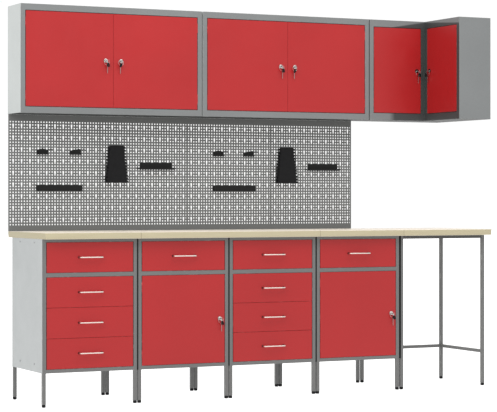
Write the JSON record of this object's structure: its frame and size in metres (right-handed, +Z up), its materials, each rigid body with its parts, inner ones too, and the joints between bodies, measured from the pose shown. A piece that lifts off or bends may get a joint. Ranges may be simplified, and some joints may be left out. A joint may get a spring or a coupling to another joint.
{
  "type": "workbench row with drawers, cupboards, tool panels and wall cabinets",
  "caption": "Workshop furniture row: workbench with drawers and lockable cupboards, corner table, beech worktop, perforated tool panels, wall cabinets and an L-shaped corner wall cabinet.",
  "frame": {"origin": "centre of the overall box on the floor", "axes": "+X along the wall to the right seen from the front, +Y into the wall, +Z up; the drawers open towards -Y"},
  "size_m": [2.547, 0.552, 1.983],
  "materials": {
    "frame_grey": "semi-gloss dark grey powder coat",
    "panel_light": "semi-gloss light grey powder coat",
    "front_red": "semi-gloss signal red powder coat with fine orange peel",
    "handle_metal": "satin anodised",
    "lock_metal": "polished, with a black plastic key grip",
    "beech": "lacquered beech plywood, veneered faces and open layered edges",
    "peg_grey": "semi-matt dark grey powder coat",
    "holder_dark": "semi-matt black powder coat",
    "black_plastic": "moulded, fine grain"
  },
  "bodies": {
    "row": {"base_cabinet_1": "frame_grey", "base_cabinet_2": "frame_grey", "base_cabinet_3": "frame_grey", "base_cabinet_4": "frame_grey", "base_shelf_2": "panel_light", "base_shelf_4": "panel_light", "corner_table_frame": "frame_grey", "worktop_1": "beech", "worktop_2": "beech", "worktop_3": "beech", "worktop_4": "beech", "tool_panel_1": "peg_grey", "tool_panel_2": "peg_grey", "tool_panel_3": "peg_grey", "tool_panel_4": "peg_grey", "long_rail_1": "holder_dark", "short_rail_1": "holder_dark", "wrench_block_1": "black_plastic", "long_rail_2": "holder_dark", "short_rail_2": "holder_dark", "wrench_block_2": "black_plastic", "wall_cabinet_1": "frame_grey", "wall_cabinet_2": "frame_grey", "corner_wall_cabinet": "frame_grey"},
    "drawer_1a_body": {"drawer_1a": "front_red", "handle_1a": "handle_metal"},
    "drawer_1d_body": {"drawer_1d": "front_red", "handle_1d": "handle_metal"},
    "drawer_1c_body": {"drawer_1c": "front_red", "handle_1c": "handle_metal"},
    "drawer_1b_body": {"drawer_1b": "front_red", "handle_1b": "handle_metal"},
    "drawer_2a_body": {"drawer_2a": "front_red", "handle_2a": "handle_metal"},
    "drawer_3a_body": {"drawer_3a": "front_red", "handle_3a": "handle_metal"},
    "drawer_3d_body": {"drawer_3d": "front_red", "handle_3d": "handle_metal"},
    "drawer_3c_body": {"drawer_3c": "front_red", "handle_3c": "handle_metal"},
    "drawer_3b_body": {"drawer_3b": "front_red", "handle_3b": "handle_metal"},
    "drawer_4a_body": {"drawer_4a": "front_red", "handle_4a": "handle_metal"},
    "base_door_2_body": {"base_door_2": "front_red"},
    "lock_base_2_body": {"lock_base_2": "lock_metal"},
    "base_door_4_body": {"base_door_4": "front_red"},
    "lock_base_4_body": {"lock_base_4": "lock_metal"},
    "wall_door_1_left_body": {"wall_door_1_left": "front_red"},
    "lock_wall_1_left_body": {"lock_wall_1_left": "lock_metal"},
    "wall_door_1_right_body": {"wall_door_1_right": "front_red"},
    "lock_wall_1_right_body": {"lock_wall_1_right": "lock_metal"},
    "wall_door_2_left_body": {"wall_door_2_left": "front_red"},
    "lock_wall_2_left_body": {"lock_wall_2_left": "lock_metal"},
    "wall_door_2_right_body": {"wall_door_2_right": "front_red"},
    "lock_wall_2_right_body": {"lock_wall_2_right": "lock_metal"},
    "corner_door_left_body": {"corner_door_left": "front_red"},
    "lock_corner_left_body": {"lock_corner_left": "lock_metal"},
    "corner_door_right_body": {"corner_door_right": "front_red"},
    "lock_corner_right_body": {"lock_corner_right": "lock_metal"}
  },
  "joints": [
    {"name": "slide_1a", "type": "slide", "parent": "row", "child": "drawer_1a_body", "axis": [0, -1, 0], "range_m": [0, 0.35]},
    {"name": "slide_1d", "type": "slide", "parent": "row", "child": "drawer_1d_body", "axis": [0, -1, 0], "range_m": [0, 0.35]},
    {"name": "slide_1c", "type": "slide", "parent": "row", "child": "drawer_1c_body", "axis": [0, -1, 0], "range_m": [0, 0.35]},
    {"name": "slide_1b", "type": "slide", "parent": "row", "child": "drawer_1b_body", "axis": [0, -1, 0], "range_m": [0, 0.35]},
    {"name": "slide_2a", "type": "slide", "parent": "row", "child": "drawer_2a_body", "axis": [0, -1, 0], "range_m": [0, 0.35]},
    {"name": "slide_3a", "type": "slide", "parent": "row", "child": "drawer_3a_body", "axis": [0, -1, 0], "range_m": [0, 0.35]},
    {"name": "slide_3d", "type": "slide", "parent": "row", "child": "drawer_3d_body", "axis": [0, -1, 0], "range_m": [0, 0.35]},
    {"name": "slide_3c", "type": "slide", "parent": "row", "child": "drawer_3c_body", "axis": [0, -1, 0], "range_m": [0, 0.35]},
    {"name": "slide_3b", "type": "slide", "parent": "row", "child": "drawer_3b_body", "axis": [0, -1, 0], "range_m": [0, 0.35]},
    {"name": "slide_4a", "type": "slide", "parent": "row", "child": "drawer_4a_body", "axis": [0, -1, 0], "range_m": [0, 0.35]},
    {"name": "hinge_base_door_2", "type": "hinge", "parent": "row", "child": "base_door_2_body", "pos_m": [-0.75045, -0.231, 0.406], "axis": [0, 0, -1], "range_deg": [0, 90]},
    {"name": "turn_lock_base_2", "type": "hinge", "parent": "base_door_2_body", "child": "lock_base_2_body", "pos_m": [-0.3262, -0.231, 0.406], "axis": [0, -1, 0], "range_deg": [0, 90]},
    {"name": "hinge_base_door_4", "type": "hinge", "parent": "row", "child": "base_door_4_body", "pos_m": [0.24955, -0.231, 0.406], "axis": [0, 0, -1], "range_deg": [0, 90]},
    {"name": "turn_lock_base_4", "type": "hinge", "parent": "base_door_4_body", "child": "lock_base_4_body", "pos_m": [0.6738, -0.231, 0.406], "axis": [0, -1, 0], "range_deg": [0, 90]},
    {"name": "hinge_wall_door_1_left", "type": "hinge", "parent": "row", "child": "wall_door_1_left_body", "pos_m": [-1.24645, 0.081, 1.71], "axis": [0, 0, -1], "range_deg": [0, 90]},
    {"name": "turn_lock_wall_1_left", "type": "hinge", "parent": "wall_door_1_left_body", "child": "lock_wall_1_left_body", "pos_m": [-0.8187, 0.081, 1.71], "axis": [0, -1, 0], "range_deg": [0, 90]},
    {"name": "hinge_wall_door_1_right", "type": "hinge", "parent": "row", "child": "wall_door_1_right_body", "pos_m": [-0.30645, 0.081, 1.71], "axis": [0, 0, 1], "range_deg": [0, 90]},
    {"name": "turn_lock_wall_1_right", "type": "hinge", "parent": "wall_door_1_right_body", "child": "lock_wall_1_right_body", "pos_m": [-0.7342, 0.081, 1.71], "axis": [0, 1, 0], "range_deg": [0, 90]},
    {"name": "hinge_wall_door_2_left", "type": "hinge", "parent": "row", "child": "wall_door_2_left_body", "pos_m": [-0.24825, 0.081, 1.71], "axis": [0, 0, -1], "range_deg": [0, 90]},
    {"name": "turn_lock_wall_2_left", "type": "hinge", "parent": "wall_door_2_left_body", "child": "lock_wall_2_left_body", "pos_m": [0.1795, 0.081, 1.71], "axis": [0, -1, 0], "range_deg": [0, 90]},
    {"name": "hinge_wall_door_2_right", "type": "hinge", "parent": "row", "child": "wall_door_2_right_body", "pos_m": [0.69175, 0.081, 1.71], "axis": [0, 0, 1], "range_deg": [0, 90]},
    {"name": "turn_lock_wall_2_right", "type": "hinge", "parent": "wall_door_2_right_body", "child": "lock_wall_2_right_body", "pos_m": [0.264, 0.081, 1.71], "axis": [0, 1, 0], "range_deg": [0, 90]},
    {"name": "hinge_corner_door_left", "type": "hinge", "parent": "row", "child": "corner_door_left_body", "pos_m": [0.74975, 0.081, 1.71], "axis": [0, 0, -1], "range_deg": [0, 90]},
    {"name": "turn_lock_corner_left", "type": "hinge", "parent": "corner_door_left_body", "child": "lock_corner_left_body", "pos_m": [1.02, 0.081, 1.71], "axis": [0, -1, 0], "range_deg": [0, 90]},
    {"name": "hinge_corner_door_right", "type": "hinge", "parent": "row", "child": "corner_door_right_body", "pos_m": [1.0715, -0.24275, 1.71], "axis": [0, 0, 1], "range_deg": [0, 95]},
    {"name": "turn_lock_corner_right", "type": "hinge", "parent": "corner_door_right_body", "child": "lock_corner_right_body", "pos_m": [1.0715, 0.0295, 1.71], "axis": [1, 0, 0], "range_deg": [0, 90]}
  ]
}
